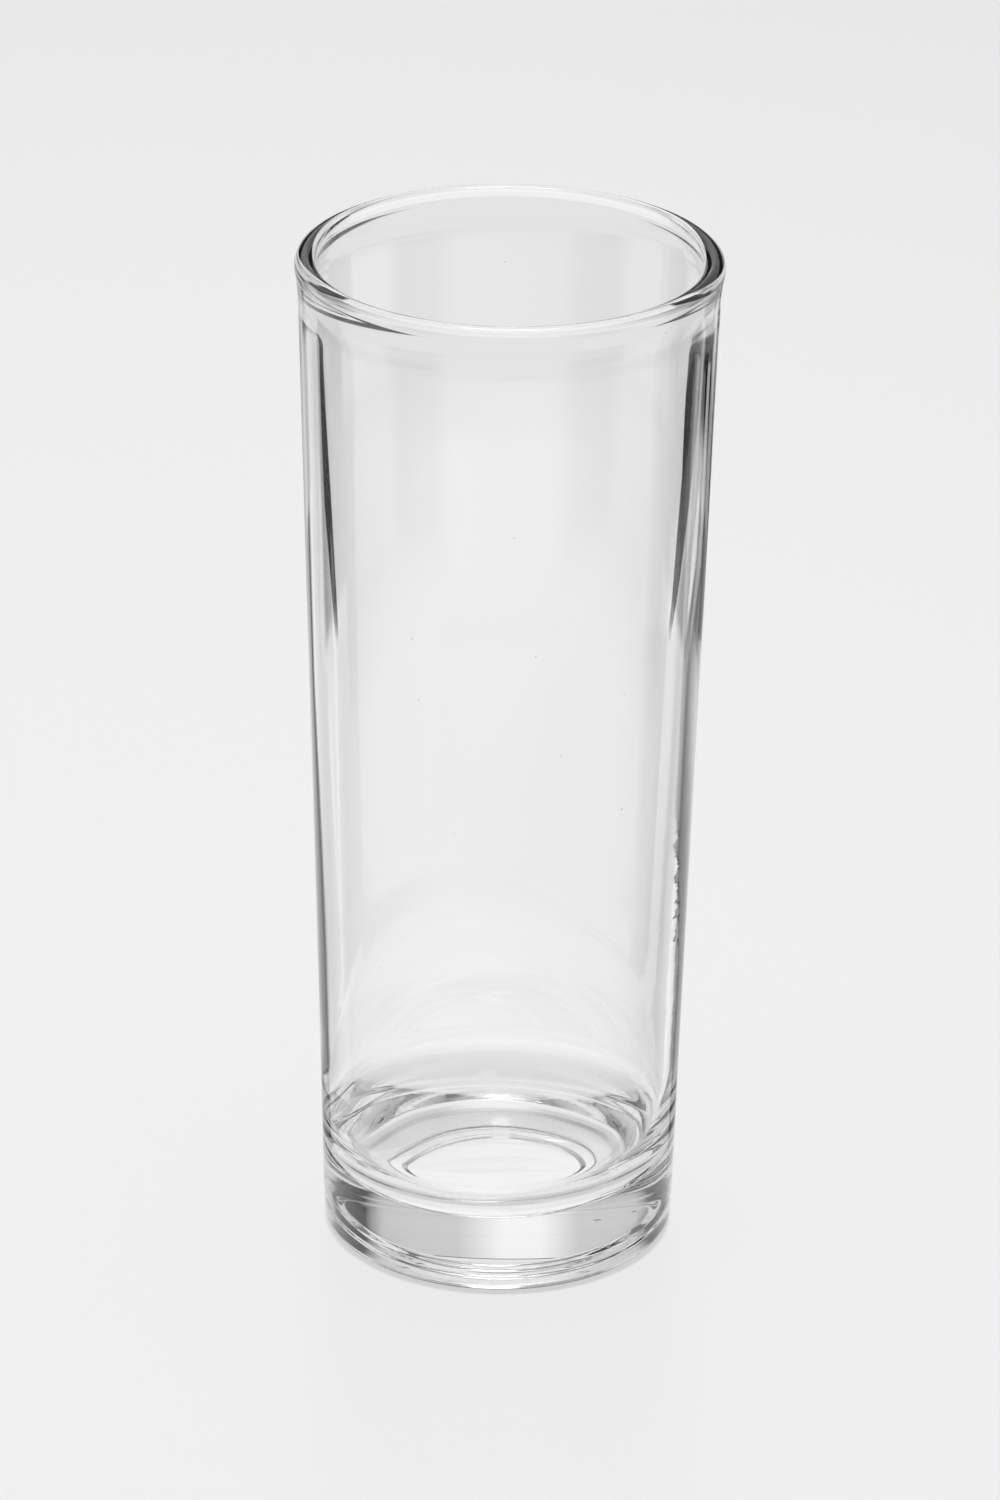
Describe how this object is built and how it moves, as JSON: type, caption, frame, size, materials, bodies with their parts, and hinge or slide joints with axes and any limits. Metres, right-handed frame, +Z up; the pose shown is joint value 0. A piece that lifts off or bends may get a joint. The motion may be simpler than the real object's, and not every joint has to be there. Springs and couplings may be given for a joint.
{
  "type": "highball glass",
  "caption": "Tall clear drinking glass with a slightly tapered straight wall, a rounded rim bead and a thick dished base on a flat foot ring.",
  "frame": {"origin": "centre of the foot ring, on the plane that the glass stands on", "axes": "+Z up along the glass's axis to the rim. The glass is round, so +X and +Y are free; the picture looks along +Y with +X to its right"},
  "size_m": [0.0638, 0.0638, 0.16],
  "materials": {
    "clear_glass": "clear soda-lime glass, fire-polished, with faint waviness in the wall"
  },
  "bodies": {
    "root": {"tumbler": "clear_glass"}
  },
  "joints": []
}
